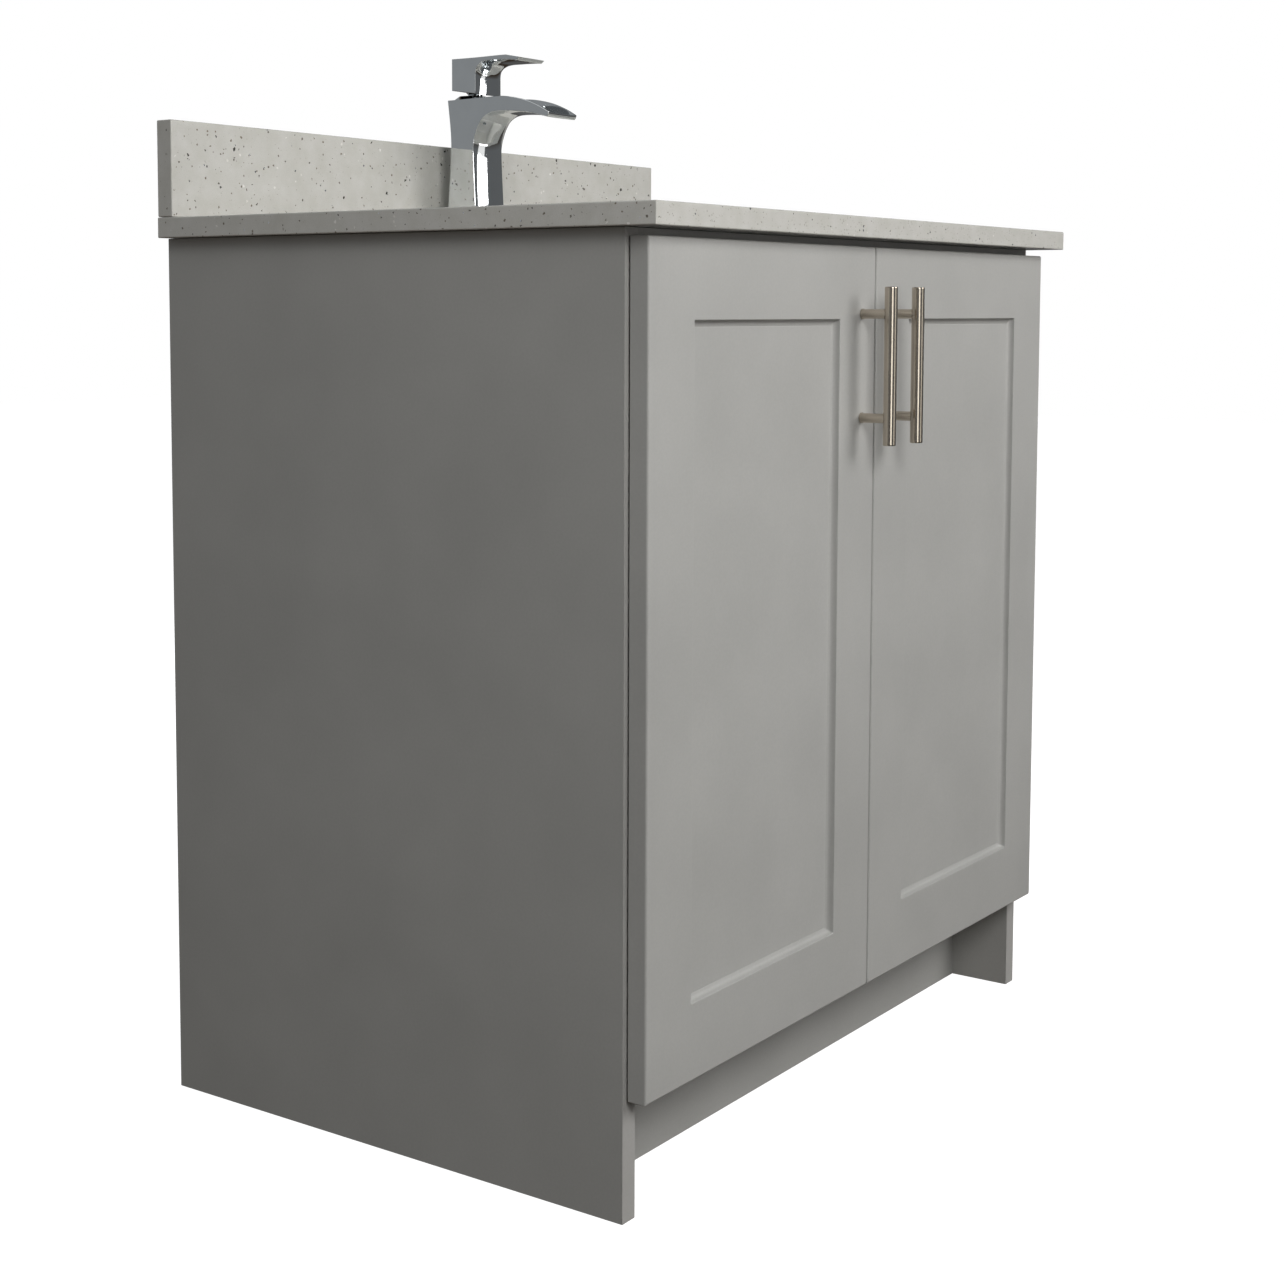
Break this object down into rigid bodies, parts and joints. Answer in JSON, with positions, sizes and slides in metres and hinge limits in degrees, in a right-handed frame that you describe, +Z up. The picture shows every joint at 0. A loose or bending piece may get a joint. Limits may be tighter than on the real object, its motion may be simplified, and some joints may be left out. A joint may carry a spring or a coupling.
{
  "type": "bathroom vanity cabinet",
  "caption": "Floor-standing bathroom vanity with framed doors on concealed hinges, bar pulls, a stone top with a backsplash, an under-mounted basin and a single-lever faucet.",
  "frame": {"origin": "on the floor, in the middle of the whole object's box", "axes": "+X to the right seen from the front, +Y from the doors to the wall, +Z up"},
  "size_m": [0.787, 0.576, 1.0128],
  "materials": {
    "cabinet_panels": "grey melamine-faced board, matt",
    "doors": "grey foil-wrapped routed fibreboard, satin",
    "braces": "moulded black plastic",
    "quartz": "polished engineered stone, cream with grey and brown flecks and small bright chips",
    "ceramic": "glossy white glaze",
    "chrome": "polished chrome plate",
    "brass": "machined brass",
    "zinc_steel": "bright zinc plate",
    "hinge_nickel": "nickel-plated pressed steel",
    "pull_nickel": "brushed nickel with fine marks around the bar",
    "black_rubber": "moulded rubber",
    "bumpers": "clear soft bumper"
  },
  "bodies": {
    "cabinet": {"side_panel_left": "cabinet_panels", "side_panel_right": "cabinet_panels", "bottom_panel": "cabinet_panels", "toe_kick": "cabinet_panels", "front_top_rail": "cabinet_panels", "back_rail_top": "cabinet_panels", "back_rail_bottom": "cabinet_panels", "corner_brace_front_left": "braces", "corner_brace_front_right": "braces", "corner_brace_back_left": "braces", "corner_brace_back_right": "braces", "countertop": "quartz", "backsplash": "quartz", "basin": "ceramic", "drain_body": "chrome", "drain_nut": "chrome", "drain_tailpiece": "chrome", "faucet_body": "chrome", "drain_gasket": "black_rubber", "faucet_shank": "brass", "faucet_nut": "brass", "faucet_washer": "zinc_steel", "hinge_arm_lower_left": "hinge_nickel", "hinge_arm_lower_right": "hinge_nickel", "hinge_arm_upper_left": "hinge_nickel", "hinge_arm_upper_right": "hinge_nickel", "hinge_plate_lower_left": "hinge_nickel", "hinge_plate_lower_right": "hinge_nickel", "hinge_plate_upper_left": "hinge_nickel", "hinge_plate_upper_right": "hinge_nickel"},
    "drain_stopper": {"drain_stopper": "chrome"},
    "faucet_stem": {"faucet_stem": "brass"},
    "faucet_handle": {"faucet_handle": "chrome"},
    "door_left": {"door_left": "doors", "hinge_cup_lower_left": "hinge_nickel", "hinge_cup_upper_left": "hinge_nickel", "pull_bar_left": "pull_nickel", "pull_post_lower_left": "pull_nickel", "pull_post_upper_left": "pull_nickel", "pull_screw_lower_left": "zinc_steel", "pull_screw_upper_left": "zinc_steel", "bumper_lower_left": "bumpers", "bumper_upper_left": "bumpers"},
    "hinge_links_left": {"hinge_link_lower_left": "hinge_nickel", "hinge_link_upper_left": "hinge_nickel"},
    "door_right": {"door_right": "doors", "hinge_cup_lower_right": "hinge_nickel", "hinge_cup_upper_right": "hinge_nickel", "pull_bar_right": "pull_nickel", "pull_post_lower_right": "pull_nickel", "pull_post_upper_right": "pull_nickel", "pull_screw_lower_right": "zinc_steel", "pull_screw_upper_right": "zinc_steel", "bumper_lower_right": "bumpers", "bumper_upper_right": "bumpers"},
    "hinge_links_right": {"hinge_link_lower_right": "hinge_nickel", "hinge_link_upper_right": "hinge_nickel"}
  },
  "joints": [
    {"name": "door_left_swing", "type": "hinge", "parent": "cabinet", "child": "door_left", "pos_m": [-0.372, -0.246, 0.4545], "axis": [0, 0, -1], "range_deg": [0, 105]},
    {"name": "door_right_swing", "type": "hinge", "parent": "cabinet", "child": "door_right", "pos_m": [0.372, -0.246, 0.4545], "axis": [0, 0, 1], "range_deg": [0, 105]},
    {"name": "hinge_links_left_fold", "type": "hinge", "parent": "door_left", "child": "hinge_links_left", "pos_m": [-0.357, -0.229, 0.4545], "axis": [0, 0, -1], "range_deg": [-95, 0]},
    {"name": "hinge_links_right_fold", "type": "hinge", "parent": "door_right", "child": "hinge_links_right", "pos_m": [0.357, -0.229, 0.4545], "axis": [0, 0, 1], "range_deg": [-95, 0]},
    {"name": "faucet_swivel", "type": "hinge", "parent": "cabinet", "child": "faucet_stem", "pos_m": [0, 0.228, 0.9833], "axis": [0, 0, 1], "range_deg": [-45, 45]},
    {"name": "faucet_lift", "type": "hinge", "parent": "faucet_stem", "child": "faucet_handle", "pos_m": [0, 0.228, 0.9833], "axis": [-1, 0, 0], "range_deg": [0, 18]},
    {"name": "stopper_lift", "type": "slide", "parent": "cabinet", "child": "drain_stopper", "axis": [0, 0, 1], "range_m": [0, 0.008]}
  ],
  "couplings": [
    {"joint": "hinge_links_left_fold", "follows": "door_left_swing", "ratio": -0.9},
    {"joint": "hinge_links_right_fold", "follows": "door_right_swing", "ratio": -0.9}
  ]
}
